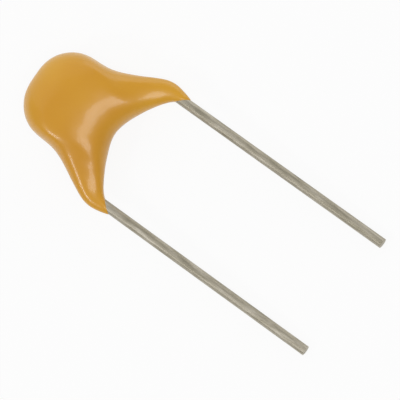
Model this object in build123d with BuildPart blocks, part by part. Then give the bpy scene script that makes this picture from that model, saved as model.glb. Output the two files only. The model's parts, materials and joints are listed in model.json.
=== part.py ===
"""Radial-leaded multilayer ceramic capacitor with a dipped epoxy coating, 5.08 mm lead pitch.

Millimetres. The part lies on its side at rest: the belly of the coating and both lead tips
touch z = 0, +X runs towards the lead tips and +Z is up. The origin is at the middle of the
bottom of the box around the whole part.

Every piece is drawn on the lead plane, which holds both lead axes. On that plane x starts
at the crown of the head and grows towards the lead tips, y is 0 midway between the leads,
and "left" is the side of positive y.
"""

import os
from math import atan2, cos, degrees, hypot, pi, radians, sin, tan

from build123d import *

# Chip: a 2.0 x 1.25 mm ceramic body with its end caps on
CHIP_LENGTH = 2.0
CHIP_WIDTH = 1.25
CHIP_THICKNESS = 1.0
CAP_WALL = 0.04
CAP_BAND = 0.45
CERAMIC_CORNER_RADIUS = 0.06

# Electrode plates inside the ceramic
PLATES_PER_SIDE = 8
PLATE_THICKNESS = 0.006
PLATE_PITCH = 0.045
PLATE_SIDE_MARGIN = 0.15
PLATE_END_GAP = 0.25

# Leads: tinned copper-clad steel wire
WIRE_DIAMETER = 0.405
LEAD_PITCH = 5.08
FREE_LEAD_LENGTH = 9.55
BEND_RADIUS = 0.6
LEAD_INSET = 0.04
LEG_RUN = 2.58
BEND_CLEARANCE = 0.02

# Solder between each wire and its end cap
SOLDER_FILM = 0.04
SOLDER_HALF_HEIGHT = 0.40
SOLDER_WRAP_ANGLE = 85.0
SOLDER_HOLLOW = 0.06
SOLDER_END_MARGIN = 0.03

# Coating thicknesses, measured outwards from what each stretch covers
TOP_COAT = 0.83
SIDE_COAT = 0.43
FACE_COAT = 0.66
LEG_COAT = 0.27
END_FILM = 0.03

# Shape of the coating's outline
HEAD_CORNER_RADIUS = 1.55
HIP_RADIUS = 2.6
KNEE_RADIUS = 1.18
KNEE_SHARE = 1.05
WEB_DEPTH = 1.95
COAT_PAST_KNEE = 0.62
END_SLANT = 0.52
CROTCH_BOW = 0.56
CROTCH_REACH = 0.61
CROTCH_HALF_WIDTH = 0.73
WEB_FULLNESS = 0.42
CROWN_SHARE = 0.64
CROWN_HOLD = 0.55
SECTIONS_PER_SIDE = 10

ROUND_FULLNESS = 0.5523  # handle of a Bezier quarter that stands for a quarter ellipse

wire_radius = WIRE_DIAMETER / 2
half_pitch = LEAD_PITCH / 2

# Places along the lead plane's x
chip_top = TOP_COAT
chip_centre = chip_top + CHIP_WIDTH / 2
chip_bottom = chip_top + CHIP_WIDTH
lead_start = chip_top + LEAD_INSET
web_edge = chip_bottom + WEB_DEPTH

# The wire lies against the end cap, bends out down the leg and bends back at the knee
pad_y = CHIP_LENGTH / 2 + SOLDER_FILM + wire_radius
leg_angle = atan2(half_pitch - pad_y, LEG_RUN)
bend_reach = BEND_RADIUS * tan(leg_angle / 2)
bend_x = chip_bottom + BEND_CLEARANCE + bend_reach
knee_x = bend_x + LEG_RUN
coat_end_outer = knee_x + COAT_PAST_KNEE + END_SLANT / 2
coat_end_inner = coat_end_outer - END_SLANT
lead_tip = coat_end_outer + FREE_LEAD_LENGTH

head_half_width = pad_y + wire_radius + SIDE_COAT
head_half_thickness = CHIP_THICKNESS / 2 + FACE_COAT
end_half_thickness = wire_radius + END_FILM

SIDES = {"left": 1, "right": -1}


def fade(share):
    """Falls smoothly from 1 at share 0 to 0 at share 1, and stays level outside them."""
    return (1 + cos(pi * min(max(share, 0), 1))) / 2


def crown_height(x):
    """Half thickness of the coating along its crown line, at x on the lead plane."""
    share = (x - chip_top) / (coat_end_outer - chip_top)
    return end_half_thickness + (head_half_thickness - end_half_thickness) * fade(share)


def belly_depth(x):
    """Half thickness of the coating on its mid-line, between the crown of the head and the web."""
    reach = chip_centre if x < chip_centre else web_edge - chip_centre
    return crown_height(chip_centre) * (1 - ((x - chip_centre) / reach) ** 2) ** 0.5


def beside_leg(share, offset):
    """Point beside the left wire's slanted stretch: a share along it and an offset outwards."""
    x = bend_x + LEG_RUN * share
    y = pad_y + (half_pitch - pad_y) * share
    return (x - offset * sin(leg_angle), y + offset * cos(leg_angle))


# At rest the plane through the belly and the lead tips is level, which sets the tilt
belly_samples = [chip_centre * step / 50 for step in range(25, 80)]
tilt = max(atan2(belly_depth(x) - wire_radius, lead_tip - x) for x in belly_samples)
tip_drop = lead_tip * sin(tilt) + wire_radius * cos(tilt)
box_length = lead_tip * cos(tilt) + wire_radius * sin(tilt)
lead_plane = Plane(
    origin=(-box_length / 2, 0, tip_drop),
    x_dir=(cos(tilt), 0, -sin(tilt)),
    z_dir=(sin(tilt), 0, cos(tilt)),
)


def place(x, y, z=0):
    """Global position of a point given on the lead plane."""
    return lead_plane.from_local_coords(Vector(x, y, z))


def upright_plane(start, end):
    """Plane that stands on the lead plane: its x runs from start to end, its y is the normal."""
    along = (place(*end) - place(*start)).normalized()
    return Plane(origin=place(*start), x_dir=along, z_dir=along.cross(lead_plane.z_dir))


def across_plane(x):
    """Plane across the leads at x: its x is the lead plane's y, and its y is the normal."""
    return Plane(origin=place(x, 0), x_dir=lead_plane.y_dir, z_dir=lead_plane.x_dir)


def outer_outline():
    """Left half of the coating's outer edge, from the crown of the head to the coat's end."""
    leg_offset = wire_radius + LEG_COAT
    leg_level = pad_y + leg_offset / cos(leg_angle)
    hip_x = bend_x + (head_half_width - leg_level) / tan(leg_angle)
    return FilletPolyline(
        (0, 0),
        (0, head_half_width),
        (hip_x, head_half_width),
        beside_leg(KNEE_SHARE, leg_offset),
        (coat_end_outer, half_pitch + end_half_thickness),
        radius=(HEAD_CORNER_RADIUS, HIP_RADIUS, KNEE_RADIUS),
    )


def inner_outline():
    """Left half of the U between the legs, from the web's middle to the coat's end."""
    return Bezier(
        (web_edge, 0),
        (web_edge, CROTCH_BOW),
        (web_edge + CROTCH_REACH, half_pitch - CROTCH_HALF_WIDTH),
        (coat_end_inner, half_pitch - end_half_thickness),
    )


def coat_section(inner, outer, share):
    """Sketch of one upright slice of the coating, from the inner edge to the outer edge."""
    width = hypot(outer[0] - inner[0], outer[1] - inner[1])
    crown = width * (0.5 + (CROWN_SHARE - 0.5) * fade((share - CROWN_HOLD) / (1 - CROWN_HOLD)))
    crown_x = inner[0] + (outer[0] - inner[0]) * crown / width
    height = crown_height(crown_x)
    thin = ROUND_FULLNESS + (WEB_FULLNESS - ROUND_FULLNESS) * fade(share)
    full = ROUND_FULLNESS
    rest = width - crown
    quarters = [
        [(0, 0), (0, thin * height), (crown * (1 - thin), height), (crown, height)],
        [(crown, height), (crown + full * rest, height), (width, full * height), (width, 0)],
        [(width, 0), (width, -full * height), (crown + full * rest, -height), (crown, -height)],
        [(crown, -height), (crown * (1 - thin), -height), (0, -thin * height), (0, 0)],
    ]
    plane = upright_plane(inner, outer)
    return Face(Wire([Bezier(*[plane.from_local_coords(p) for p in quarter]) for quarter in quarters]))


def point_along(edge, share):
    """Point of an outline at a share of its length."""
    return edge.position_at(share * edge.length, position_mode=PositionMode.LENGTH)


def box_between(plane, x_range, y_range, height, mode=Mode.ADD):
    """Block on a plane that fills a range of x, a range of y and a height about the plane."""
    with BuildSketch(plane) as footprint:
        with Locations((sum(x_range) / 2, sum(y_range) / 2)):
            Rectangle(x_range[1] - x_range[0], y_range[1] - y_range[0])
    extrude(footprint.sketch, amount=height / 2, both=True, mode=mode)


os.makedirs("parts", exist_ok=True)

# Leads
leads = {}
for side, sign in SIDES.items():
    with BuildPart() as lead:
        with BuildLine(lead_plane) as lead_path:
            FilletPolyline(
                (lead_start, sign * pad_y),
                (bend_x, sign * pad_y),
                (knee_x, sign * half_pitch),
                (lead_tip, sign * half_pitch),
                radius=BEND_RADIUS,
            )
        with BuildSketch(across_plane(lead_start)):
            with Locations((sign * pad_y, 0)):
                Circle(wire_radius)
        sweep(path=lead_path.line)
    lead.part.label = f"lead_{side}"
    leads[side] = lead
    export_step(lead.part, f"parts/lead_{side}.step")

# Electrode plates, reaching the left and the right end cap in turn
ceramic_half_length = CHIP_LENGTH / 2 - CAP_WALL
ceramic_half_width = CHIP_WIDTH / 2 - CAP_WALL
stack_height = PLATE_PITCH * (2 * PLATES_PER_SIDE - 1)
plates = []
for index in range(2 * PLATES_PER_SIDE):
    side = "left" if index % 2 == 0 else "right"
    near_end = SIDES[side] * ceramic_half_length
    far_end = -SIDES[side] * (ceramic_half_length - PLATE_END_GAP)
    level = index * PLATE_PITCH - stack_height / 2
    reach = ceramic_half_width - PLATE_SIDE_MARGIN
    with BuildPart() as plate:
        box_between(
            lead_plane.offset(level),
            (chip_centre - reach, chip_centre + reach),
            (min(near_end, far_end), max(near_end, far_end)),
            PLATE_THICKNESS,
        )
    plate.part.label = f"electrode_{side}_{index // 2 + 1}"
    plates.append(plate)
    export_step(plate.part, f"parts/{plate.part.label}.step")

# Ceramic block, fired around the plates
with BuildPart() as ceramic_block:
    box_between(
        lead_plane,
        (chip_centre - ceramic_half_width, chip_centre + ceramic_half_width),
        (-ceramic_half_length, ceramic_half_length),
        CHIP_THICKNESS - 2 * CAP_WALL,
    )
    fillet(ceramic_block.edges(), CERAMIC_CORNER_RADIUS)
    ceramic_solid = ceramic_block.part
    for plate in plates:
        add(plate.part, mode=Mode.SUBTRACT)
ceramic_block.part.label = "ceramic_block"
export_step(ceramic_block.part, "parts/ceramic_block.step")

# End caps, fired on over the ceramic's ends
caps = {}
for side, sign in SIDES.items():
    cap_ends = sorted((sign * CHIP_LENGTH / 2, sign * (CHIP_LENGTH / 2 - CAP_BAND)))
    with BuildPart() as cap:
        box_between(
            lead_plane,
            (chip_centre - CHIP_WIDTH / 2, chip_centre + CHIP_WIDTH / 2),
            (-CHIP_LENGTH / 2, CHIP_LENGTH / 2),
            CHIP_THICKNESS,
        )
        fillet(cap.edges(), CERAMIC_CORNER_RADIUS + CAP_WALL)
        box_between(
            lead_plane,
            (0, chip_bottom + CHIP_WIDTH),
            cap_ends,
            2 * CHIP_THICKNESS,
            mode=Mode.INTERSECT,
        )
        add(ceramic_solid, mode=Mode.SUBTRACT)
    cap.part.label = f"end_cap_{side}"
    caps[side] = cap
    export_step(cap.part, f"parts/end_cap_{side}.step")

# Solder that joins each wire to its end cap
solders = {}
wrap = radians(SOLDER_WRAP_ANGLE)
for side, sign in SIDES.items():
    face_y = sign * CHIP_LENGTH / 2
    touch_y = sign * (pad_y - wire_radius * cos(wrap))
    touch_z = wire_radius * sin(wrap)
    with BuildPart() as solder:
        with BuildSketch(across_plane(lead_start + SOLDER_END_MARGIN)):
            with BuildLine():
                Line((face_y, SOLDER_HALF_HEIGHT), (face_y, -SOLDER_HALF_HEIGHT))
                for up in (1, -1):
                    Bezier(
                        (face_y, up * SOLDER_HALF_HEIGHT),
                        (face_y + sign * SOLDER_FILM, up * (touch_z + SOLDER_HOLLOW)),
                        (touch_y, up * touch_z),
                    )
                ThreePointArc(
                    (touch_y, touch_z),
                    (sign * (pad_y - wire_radius), 0),
                    (touch_y, -touch_z),
                )
            make_face()
        extrude(amount=chip_bottom - lead_start - 2 * SOLDER_END_MARGIN)
    solder.part.label = f"solder_{side}"
    solders[side] = solder
    export_step(solder.part, f"parts/solder_{side}.step")

# Epoxy coating, dipped over all of these
outer_edge = outer_outline()
inner_edge = inner_outline()
sections = []
for step in range(-SECTIONS_PER_SIDE, SECTIONS_PER_SIDE + 1):
    sign = 1 if step >= 0 else -1
    share = abs(step) / SECTIONS_PER_SIDE
    inner = point_along(inner_edge, share)
    outer = point_along(outer_edge, share)
    sections.append(coat_section((inner.X, sign * inner.Y), (outer.X, sign * outer.Y), share))
with BuildPart() as epoxy_coating:
    loft(sections, clean=False)
    add(ceramic_solid, mode=Mode.SUBTRACT, clean=False)
    for side in SIDES:
        for held in (caps[side], solders[side], leads[side]):
            add(held.part, mode=Mode.SUBTRACT, clean=False)
epoxy_coating.part.label = "epoxy_coating"
export_step(epoxy_coating.part, "parts/epoxy_coating.step")

print("tilt", round(degrees(tilt), 2), "lead tip", round(lead_tip, 3), "drop", round(tip_drop, 3))
print("coat", epoxy_coating.part.volume, epoxy_coating.part.bounding_box())
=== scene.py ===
"""Looks of a radial-leaded ceramic capacitor with a dipped epoxy coating.

Metres, in the part's own frame. The lead plane holds both lead axes: on it x starts at the
crown of the head and grows towards the lead tips, y is 0 midway between the leads, and z is
the height above the plane. Sizes on the lead plane are in millimetres.
"""

import json
from math import atan2, cos, pi, radians, sin, tan

import bmesh
import bpy
from mathutils import Matrix, Vector
from mathutils.geometry import interpolate_bezier

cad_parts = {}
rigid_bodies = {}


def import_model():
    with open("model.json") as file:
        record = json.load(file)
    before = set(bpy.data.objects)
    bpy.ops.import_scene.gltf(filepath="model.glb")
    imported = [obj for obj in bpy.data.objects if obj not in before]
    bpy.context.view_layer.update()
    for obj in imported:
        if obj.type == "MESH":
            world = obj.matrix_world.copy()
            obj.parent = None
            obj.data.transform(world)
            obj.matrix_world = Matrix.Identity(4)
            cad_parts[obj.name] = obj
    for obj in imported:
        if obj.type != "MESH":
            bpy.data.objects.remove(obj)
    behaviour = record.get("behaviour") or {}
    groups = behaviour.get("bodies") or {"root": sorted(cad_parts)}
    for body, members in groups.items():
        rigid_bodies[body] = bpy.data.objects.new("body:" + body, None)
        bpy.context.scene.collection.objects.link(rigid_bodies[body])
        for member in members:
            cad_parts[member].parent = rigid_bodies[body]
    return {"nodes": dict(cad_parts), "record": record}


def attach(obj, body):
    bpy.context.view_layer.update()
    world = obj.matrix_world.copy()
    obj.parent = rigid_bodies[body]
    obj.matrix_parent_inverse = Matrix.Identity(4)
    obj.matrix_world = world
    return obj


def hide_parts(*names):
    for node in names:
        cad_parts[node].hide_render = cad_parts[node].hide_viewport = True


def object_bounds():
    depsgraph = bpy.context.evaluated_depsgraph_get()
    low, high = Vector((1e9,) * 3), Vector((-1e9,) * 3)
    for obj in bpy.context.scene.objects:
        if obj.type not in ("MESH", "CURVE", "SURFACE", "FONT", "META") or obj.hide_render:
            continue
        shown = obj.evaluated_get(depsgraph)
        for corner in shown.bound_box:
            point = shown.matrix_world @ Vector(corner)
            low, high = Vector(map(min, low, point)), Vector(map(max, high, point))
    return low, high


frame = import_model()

cad_low, cad_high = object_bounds()
MM = 0.001

# Wire and lead plane, from the frame's mounts
pins = {mount["name"]: mount for mount in frame["record"]["mounts"]}
pin = pins["lead_pin_left"]
WIRE_RADIUS = pin["dims"]["r_mm"]
HALF_PITCH = pin["pos_m"][1] / MM
lead_axis = Vector(pin["axis"]).normalized()
side_axis = Vector((0, 1, 0))
plane_normal = lead_axis.cross(side_axis)
crown_step = (pin["pos_m"][0] - cad_low.x) / lead_axis.x
plane_origin = Vector(pin["pos_m"]) - lead_axis * crown_step
plane_origin.y = 0

# Chip and coating, millimetres on the lead plane
CHIP_TOP = 0.83
CHIP_WIDTH = 1.25
CHIP_HALF_LENGTH = 1.0
SOLDER_FILM = 0.04
LEG_RUN = 2.58
BEND_RADIUS = 0.6
BEND_CLEARANCE = 0.02
HEAD_HALF_THICKNESS = 1.15
SIDE_COAT = 0.43
LEG_COAT = 0.27
WEB_DEPTH = 1.95
COAT_PAST_KNEE = 0.62
END_SLANT = 0.52
END_FILM = 0.03
HEAD_CORNER_RADIUS = 1.55
HIP_RADIUS = 2.6
KNEE_RADIUS = 1.18
KNEE_SHARE = 1.05
CROTCH_BOW = 0.56
CROTCH_REACH = 0.61
CROTCH_HALF_WIDTH = 0.73

chip_bottom = CHIP_TOP + CHIP_WIDTH
web_edge = chip_bottom + WEB_DEPTH
pad_y = CHIP_HALF_LENGTH + SOLDER_FILM + WIRE_RADIUS
leg_angle = atan2(HALF_PITCH - pad_y, LEG_RUN)
bend_x = chip_bottom + BEND_CLEARANCE + BEND_RADIUS * tan(leg_angle / 2)
knee_x = bend_x + LEG_RUN
end_outer_x = knee_x + COAT_PAST_KNEE + END_SLANT / 2
end_inner_x = end_outer_x - END_SLANT
head_half_width = pad_y + WIRE_RADIUS + SIDE_COAT
end_half = WIRE_RADIUS + END_FILM

# Fineness of the coating's mesh
SLICES_PER_SIDE = 34
QUARTER_POINTS = 12
CROTCH_POINTS = 60


def place(x, y, z=0.0):
    """Point of the part's frame, in metres, for millimetres on the lead plane."""
    return plane_origin + (lead_axis * x + side_axis * y + plane_normal * z) * MM


# ---------------------------------------------------------------- outline and slices


def rounded_path(corners, radii, arc_steps=10):
    """Points along straight runs joined by tangent arcs, one radius for each inner corner."""
    points = [Vector(corners[0])]
    for before, corner, after, radius in zip(corners, corners[1:], corners[2:], radii):
        corner = Vector(corner)
        back = (Vector(before) - corner).normalized()
        on = (Vector(after) - corner).normalized()
        half_turn = (pi - back.angle(on)) / 2
        reach = radius * tan(half_turn)
        centre = corner + (back + on).normalized() * radius / cos(half_turn)
        start = corner + back * reach - centre
        finish = corner + on * reach - centre
        for step in range(arc_steps + 1):
            share = step / arc_steps
            spoke = start * sin((1 - share) * 2 * half_turn) + finish * sin(share * 2 * half_turn)
            points.append(centre + spoke / sin(2 * half_turn))
    points.append(Vector(corners[-1]))
    return points


def along(points, share):
    """Point at a share of the length of a run of points."""
    lengths = [(b - a).length for a, b in zip(points, points[1:])]
    left = share * sum(lengths)
    for a, b, length in zip(points, points[1:], lengths):
        if left <= length:
            return a.lerp(b, left / length)
        left -= length
    return points[-1].copy()


def outer_outline():
    """Outer edge of the coating's left half, from the crown of the head to the coat's end."""
    offset = WIRE_RADIUS + LEG_COAT
    leg_level = pad_y + offset / cos(leg_angle)
    hip_x = bend_x + (head_half_width - leg_level) / tan(leg_angle)
    knee = (
        bend_x + LEG_RUN * KNEE_SHARE - offset * sin(leg_angle),
        pad_y + (HALF_PITCH - pad_y) * KNEE_SHARE + offset * cos(leg_angle),
    )
    corners = [
        (0, 0),
        (0, head_half_width),
        (hip_x, head_half_width),
        knee,
        (end_outer_x, HALF_PITCH + end_half),
    ]
    radii = (HEAD_CORNER_RADIUS, HIP_RADIUS, KNEE_RADIUS)
    return rounded_path([Vector((x, y)) for x, y in corners], radii)


def inner_outline():
    """Edge of the U between the legs, left half, from the web's middle to the coat's end."""
    handles = [
        (web_edge, 0),
        (web_edge, CROTCH_BOW),
        (web_edge + CROTCH_REACH, HALF_PITCH - CROTCH_HALF_WIDTH),
        (end_inner_x, HALF_PITCH - end_half),
    ]
    return interpolate_bezier(*[Vector((x, y)) for x, y in handles], CROTCH_POINTS)


def fade(share):
    """Falls smoothly from 1 at share 0 to 0 at share 1, and stays level outside them."""
    return (1 + cos(pi * min(max(share, 0), 1))) / 2


def crown_height(x):
    """Half thickness of the coating on its crown line."""
    share = (x - CHIP_TOP) / (end_outer_x - CHIP_TOP)
    return end_half + (HEAD_HALF_THICKNESS - end_half) * fade(share)


# Shape of a slice. A share of 0 is the web's middle and 1 is the coat's end on the wire
ROUND = 0.5523  # handle of a Bezier quarter that stands for a quarter ellipse
WEB_REACH = 0.42
WEB_REACH_END = 0.8
LEG_REACH = 0.36
WEB_WALL = 0.95
WEB_WALL_END = 0.6
LEG_WALL_SHARE = 0.95
COAT_END_START = 0.75
CROWN_SHARE = 0.64
CROWN_HOLD = 0.55


def slice_rim(inner, outer, share):
    """One closed rim of the coating, from its inner edge over the top to its outer edge and back."""
    width = (outer - inner).length
    crown = width * (0.5 + (CROWN_SHARE - 0.5) * fade((share - CROWN_HOLD) / (1 - CROWN_HOLD)))
    height = crown_height(inner.x + (outer.x - inner.x) * crown / width)
    end_blend = fade((share - COAT_END_START) / (1 - COAT_END_START))
    leg_reach = ROUND + (LEG_REACH - ROUND) * end_blend
    reach = leg_reach + (WEB_REACH - leg_reach) * fade(share / WEB_REACH_END)
    leg_wall = height * (ROUND + (LEG_WALL_SHARE - ROUND) * end_blend)
    wall = leg_wall + (WEB_WALL - leg_wall) * fade(share / WEB_WALL_END)
    rest = width - crown
    rise = [(0, 0), (0, wall), (crown * (1 - reach), height), (crown, height)]
    fall = [(crown, height), (crown + ROUND * rest, height), (width, ROUND * height), (width, 0)]
    top = []
    for quarter in (rise, fall):
        handles = [Vector(handle) for handle in quarter]
        top += interpolate_bezier(*handles, QUARTER_POINTS + 1)[:-1]
    top.append(Vector((width, 0)))
    profile = top + [Vector((point.x, -point.y)) for point in reversed(top[1:-1])]
    step = (outer - inner) / width
    return [(inner.x + step.x * p.x, inner.y + step.y * p.x, p.y) for p in profile]


def wire_rim(shift, radius):
    """Rim on the left wire itself, slanted as the coat's end is, where the film runs out."""
    inner = Vector((end_inner_x + shift, HALF_PITCH - radius))
    outer = Vector((end_outer_x + shift, HALF_PITCH + radius))
    count = 4 * QUARTER_POINTS
    rim = []
    for step in range(count):
        turn = 2 * pi * step / count
        share = (1 - cos(turn)) / 2
        spot = inner.lerp(outer, share)
        rim.append((spot.x, spot.y, radius * sin(turn)))
    return rim


# ---------------------------------------------------------------- modelling helpers


def select_none():
    for shown in bpy.context.view_layer.objects:
        shown.select_set(False)


def activate(piece):
    select_none()
    piece.select_set(True)
    bpy.context.view_layer.objects.active = piece


def apply_modifier(piece, name, kind, **settings):
    """Adds a modifier with its settings and applies it to the mesh."""
    activate(piece)
    modifier = piece.modifiers.new(name, kind)
    for key, value in settings.items():
        setattr(modifier, key, value)
    bpy.ops.object.modifier_apply(modifier=modifier.name)


# ---------------------------------------------------------------- coating

# Last two rims, where the film thins out on the wire and then dips below its surface
FILM_SHIFT = 0.07
FILM_THICKNESS = 0.006
TUCK_SHIFT = 0.11
TUCK_DEPTH = 0.02

SMOOTHING_ROUNDS = 12
UNEVENNESS = 0.05
UNEVENNESS_SPREAD = 1.5


def coating():
    """The dipped coating: a ring extruded slice by slice from one leg's end round to the other."""
    outer_path = outer_outline()
    inner_path = inner_outline()
    half = []
    for step in range(SLICES_PER_SIDE + 1):
        share = step / SLICES_PER_SIDE
        half.append(slice_rim(along(inner_path, share), along(outer_path, share), share))
    half.append(wire_rim(FILM_SHIFT, WIRE_RADIUS + FILM_THICKNESS))
    half.append(wire_rim(TUCK_SHIFT, WIRE_RADIUS - TUCK_DEPTH))
    mirrored = [[(x, -y, z) for x, y, z in rim] for rim in half]
    rims = list(reversed(mirrored)) + half[1:]

    select_none()
    bpy.ops.mesh.primitive_circle_add(vertices=4 * QUARTER_POINTS, radius=MM, fill_type="NGON")
    piece = bpy.context.object
    piece.name = "dipped_coating"
    bpy.ops.object.mode_set(mode="EDIT")
    mesh = bmesh.from_edit_mesh(piece.data)
    mesh.verts.ensure_lookup_table()
    for index, spot in enumerate(rims[0]):
        mesh.verts[index].co = place(*spot)
    for rim in rims[1:]:
        bpy.ops.mesh.extrude_region_move()
        mesh = bmesh.from_edit_mesh(piece.data)
        ring = sorted((v for v in mesh.verts if v.select), key=lambda v: v.index)
        for vert, spot in zip(ring, rim):
            vert.co = place(*spot)
        bmesh.update_edit_mesh(piece.data)
    bpy.ops.mesh.select_all(action="SELECT")
    bpy.ops.mesh.normals_make_consistent(inside=False)
    bpy.ops.object.mode_set(mode="OBJECT")

    apply_modifier(piece, "fair", "SUBSURF", levels=1, render_levels=1)
    apply_modifier(
        piece,
        "settle",
        "CORRECTIVE_SMOOTH",
        factor=0.5,
        iterations=SMOOTHING_ROUNDS,
        use_only_smooth=True,
    )
    dips = bpy.data.textures.new("dipped_unevenness", "CLOUDS")
    dips.noise_scale = UNEVENNESS_SPREAD * MM
    apply_modifier(
        piece,
        "uneven",
        "DISPLACE",
        texture=dips,
        texture_coords="LOCAL",
        strength=UNEVENNESS * MM,
        mid_level=0.5,
    )
    activate(piece)
    bpy.ops.object.shade_smooth()
    return piece


# ---------------------------------------------------------------- materials

GRAIN_HEIGHT = 0.01 * MM


def new_material(name):
    """A node material, its shader and short ways to add and join nodes."""
    material = bpy.data.materials.new(name)
    material.use_nodes = True
    nodes = material.node_tree.nodes
    links = material.node_tree.links
    shader = nodes["Principled BSDF"]
    return material, nodes, links, shader


def object_coordinates(nodes, links, scale):
    """Object coordinates through a Mapping node with a scale for each axis."""
    coordinates = nodes.new("ShaderNodeTexCoord")
    mapping = nodes.new("ShaderNodeMapping")
    mapping.inputs["Scale"].default_value = scale
    mapping.inputs["Rotation"].default_value = (0, -atan2(-lead_axis.z, lead_axis.x), 0)
    links.new(coordinates.outputs["Object"], mapping.inputs["Vector"])
    return mapping.outputs["Vector"]


def noise(nodes, links, vector, scale, detail, roughness=0.5):
    """Strength of a noise texture that follows a vector."""
    node = nodes.new("ShaderNodeTexNoise")
    node.inputs["Scale"].default_value = scale
    node.inputs["Detail"].default_value = detail
    node.inputs["Roughness"].default_value = roughness
    links.new(vector, node.inputs["Vector"])
    return node.outputs["Fac"]


def ramp(nodes, links, value, stops):
    """Colour of a value through a ramp, from stops of a position and a colour."""
    node = nodes.new("ShaderNodeValToRGB")
    elements = node.color_ramp.elements
    elements[0].position, elements[0].color = stops[0]
    elements[1].position, elements[1].color = stops[-1]
    for position, color in stops[1:-1]:
        elements.new(position).color = color
    links.new(value, node.inputs["Fac"])
    return node.outputs["Color"]


def bump(nodes, links, shader, height, strength, distance):
    """Joins a height to the shader's normal, with its distance in metres."""
    node = nodes.new("ShaderNodeBump")
    node.inputs["Strength"].default_value = strength
    node.inputs["Distance"].default_value = distance
    links.new(height, node.inputs["Height"])
    links.new(node.outputs["Normal"], shader.inputs["Normal"])


def linear(red, green, blue):
    """Linear colour for a display colour of 0 to 255."""
    def channel(value):
        value /= 255
        return value / 12.92 if value <= 0.04045 else ((value + 0.055) / 1.055) ** 2.4

    return (channel(red), channel(green), channel(blue), 1)


def epoxy_material():
    """Glossy golden-tan epoxy, with a painted sheen that lightens it where it turns away from view.
    """
    material, nodes, links, shader = new_material("golden_epoxy")
    vector = object_coordinates(nodes, links, (1, 1, 1))
    broad = noise(nodes, links, vector, 260, 2)
    color = ramp(
        nodes,
        links,
        broad,
        [
            (0.30, linear(209, 144, 10)),
            (0.50, linear(216, 154, 18)),
            (0.70, linear(223, 165, 30)),
        ],
    )
    # Painted rim sheen: the colour is mixed towards a lighter tan at grazing angles, standing in for
    # reflection of the bright surroundings.
    edge = nodes.new("ShaderNodeLayerWeight")
    edge.inputs["Blend"].default_value = 0.25
    mix = nodes.new("ShaderNodeMix")
    mix.data_type = "RGBA"
    links.new(edge.outputs["Facing"], mix.inputs["Factor"])
    links.new(color, mix.inputs["A"])
    mix.inputs["B"].default_value = linear(224, 168, 38)
    links.new(mix.outputs["Result"], shader.inputs["Base Color"])
    fine = noise(nodes, links, vector, 2600, 3)
    bump(nodes, links, shader, fine, 0.10, 0.02 * MM)
    shader.inputs["Roughness"].default_value = 0.36
    shader.inputs["IOR"].default_value = 1.54
    shader.inputs["Coat Weight"].default_value = 0.30
    shader.inputs["Coat Roughness"].default_value = 0.12
    return material


def tinned_wire_material():
    """Dull tinned wire with specks and streaks drawn out along it."""
    material, nodes, links, shader = new_material("tinned_wire")
    streaks = noise(nodes, links, object_coordinates(nodes, links, (0.04, 1, 1)), 12000, 2, 0.5)
    specks = noise(nodes, links, object_coordinates(nodes, links, (0.12, 1, 1)), 7000, 4, 0.6)
    color = ramp(
        nodes,
        links,
        specks,
        [
            (0.30, linear(150, 144, 126)),
            (0.50, linear(176, 169, 152)),
            (0.74, linear(206, 200, 186)),
        ],
    )
    links.new(color, shader.inputs["Base Color"])
    roughness = nodes.new("ShaderNodeMapRange")
    roughness.inputs["To Min"].default_value = 0.40
    roughness.inputs["To Max"].default_value = 0.60
    links.new(specks, roughness.inputs["Value"])
    links.new(roughness.outputs["Result"], shader.inputs["Roughness"])
    bump(nodes, links, shader, streaks, 0.40, GRAIN_HEIGHT)
    shader.inputs["Metallic"].default_value = 1.0
    return material


def plain_metal(name, dark, light, rough):
    """Inner metal with a fine grain."""
    material, nodes, links, shader = new_material(name)
    grain = noise(nodes, links, object_coordinates(nodes, links, (1, 1, 1)), 6000, 3)
    links.new(ramp(nodes, links, grain, [(0.3, dark), (0.7, light)]), shader.inputs["Base Color"])
    bump(nodes, links, shader, grain, 0.2, 0.00001)
    shader.inputs["Metallic"].default_value = 1.0
    shader.inputs["Roughness"].default_value = rough
    return material


def ceramic_material():
    """Matt fired ceramic."""
    material, nodes, links, shader = new_material("fired_ceramic")
    grain = noise(nodes, links, object_coordinates(nodes, links, (1, 1, 1)), 5000, 4)
    stops = [(0.3, linear(150, 126, 100)), (0.7, linear(176, 152, 124))]
    links.new(ramp(nodes, links, grain, stops), shader.inputs["Base Color"])
    bump(nodes, links, shader, grain, 0.2, 0.00001)
    shader.inputs["Roughness"].default_value = 0.55
    return material


# ---------------------------------------------------------------- the part

body = coating()
body.data.materials.append(epoxy_material())
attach(body, "root")
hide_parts("epoxy_coating")

finishes = {
    "lead": tinned_wire_material(),
    "electrode": plain_metal("plate_nickel", linear(150, 146, 138), linear(182, 178, 170), 0.4),
    "end_cap": plain_metal("cap_tin", linear(178, 176, 172), linear(208, 206, 202), 0.38),
    "solder": plain_metal("solder_tin", linear(190, 190, 192), linear(222, 222, 224), 0.25),
    "ceramic": ceramic_material(),
}
for node_name, node in frame["nodes"].items():
    for start, finish in finishes.items():
        if node_name.startswith(start):
            node.data.materials.clear()
            node.data.materials.append(finish)

# ---------------------------------------------------------------- floor, light and camera

FLOOR_SIZE = 1.2
FLOOR_GREY = 0.85
FLOOR_GLOW_SHARE = 0.9  # what is left shows the shadow
WORLD_STRENGTH = 0.44
LIGHT_DISTANCE = 0.14
LIGHT_TARGET = Vector((0, 0, 0.001))


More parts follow.
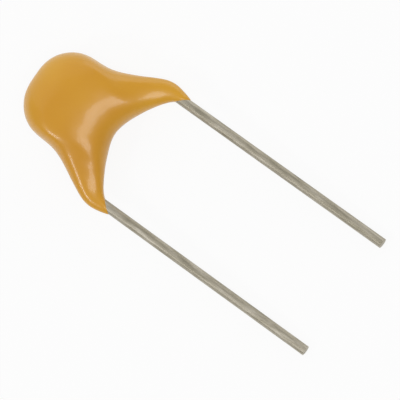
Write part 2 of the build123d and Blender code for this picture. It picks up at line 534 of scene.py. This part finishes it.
def floor():
    """White floor that keeps a faint shadow."""
    select_none()
    bpy.ops.mesh.primitive_plane_add(size=FLOOR_SIZE, location=(0, 0, cad_low.z))
    piece = bpy.context.object
    piece.name = "studio_floor"
    material = bpy.data.materials.new("studio_white")
    material.use_nodes = True
    nodes = material.node_tree.nodes
    links = material.node_tree.links
    nodes.clear()
    output = nodes.new("ShaderNodeOutputMaterial")
    paint = nodes.new("ShaderNodeBsdfDiffuse")
    paint.inputs["Color"].default_value = (FLOOR_GREY, FLOOR_GREY, FLOOR_GREY, 1)
    glow = nodes.new("ShaderNodeEmission")
    glow.inputs["Color"].default_value = (1, 1, 1, 1)
    glow.inputs["Strength"].default_value = 1.0
    paths = nodes.new("ShaderNodeLightPath")
    seen = nodes.new("ShaderNodeMath")
    seen.operation = "MAXIMUM"
    links.new(paths.outputs["Is Camera Ray"], seen.inputs[0])
    links.new(paths.outputs["Is Glossy Ray"], seen.inputs[1])
    share = nodes.new("ShaderNodeMath")
    share.operation = "MULTIPLY"
    share.inputs[1].default_value = FLOOR_GLOW_SHARE
    links.new(seen.outputs[0], share.inputs[0])
    mix = nodes.new("ShaderNodeMixShader")
    links.new(share.outputs[0], mix.inputs["Fac"])
    links.new(paint.outputs["BSDF"], mix.inputs[1])
    links.new(glow.outputs["Emission"], mix.inputs[2])
    links.new(mix.outputs["Shader"], output.inputs["Surface"])
    piece.data.materials.append(material)


def area_light(name, direction, size, power):
    """Square soft light that faces the part from a direction, with its size in metres."""
    select_none()
    heading = Vector(direction).normalized()
    bpy.ops.object.light_add(type="AREA", location=LIGHT_TARGET + heading * LIGHT_DISTANCE)
    lamp = bpy.context.object
    lamp.name = name
    lamp.data.size = size
    lamp.data.energy = power
    lamp.rotation_euler = heading.to_track_quat("Z", "Y").to_euler()


floor()
world = bpy.data.worlds.new("studio")
bpy.context.scene.world = world
world.use_nodes = True
world.node_tree.nodes["Background"].inputs["Color"].default_value = (1, 1, 1, 1)
world.node_tree.nodes["Background"].inputs["Strength"].default_value = WORLD_STRENGTH

area_light("tips_softbox", (0.42, -0.03, 1.0), 0.06, 0.055)
area_light("crown_softbox", (-0.85, 0.25, 0.60), 0.20, 0.05)
area_light("side_softbox", (-0.20, -0.70, 0.68), 0.026, 0.026)
area_light("far_softbox", (-0.25, 0.95, 0.20), 0.10, 0.035)

CAMERA_DISTANCE = 0.16
VIEW_WIDTH = 15.55 * MM
LEAN = radians(18)
ROLL = radians(35.75)
AIM = place(8.36, -0.205)


def camera():
    """Long lens that looks down on the part from the lead tips' side, rolled about its view."""
    toward = Vector((sin(LEAN), 0, cos(LEAN)))
    level = Vector((cos(LEAN), 0, -sin(LEAN)))
    right = level * cos(ROLL) + side_axis * sin(ROLL)
    up = side_axis * cos(ROLL) - level * sin(ROLL)
    turn = Matrix((right, up, toward)).transposed().to_4x4()
    data = bpy.data.cameras.new("camera")
    data.lens = data.sensor_width * CAMERA_DISTANCE / VIEW_WIDTH
    data.clip_start = 0.01
    data.clip_end = 5
    eye = bpy.data.objects.new("camera", data)
    bpy.context.scene.collection.objects.link(eye)
    eye.matrix_world = Matrix.Translation(AIM + toward * CAMERA_DISTANCE) @ turn
    bpy.context.scene.camera = eye


camera()
bpy.context.scene.view_settings.view_transform = "Standard"
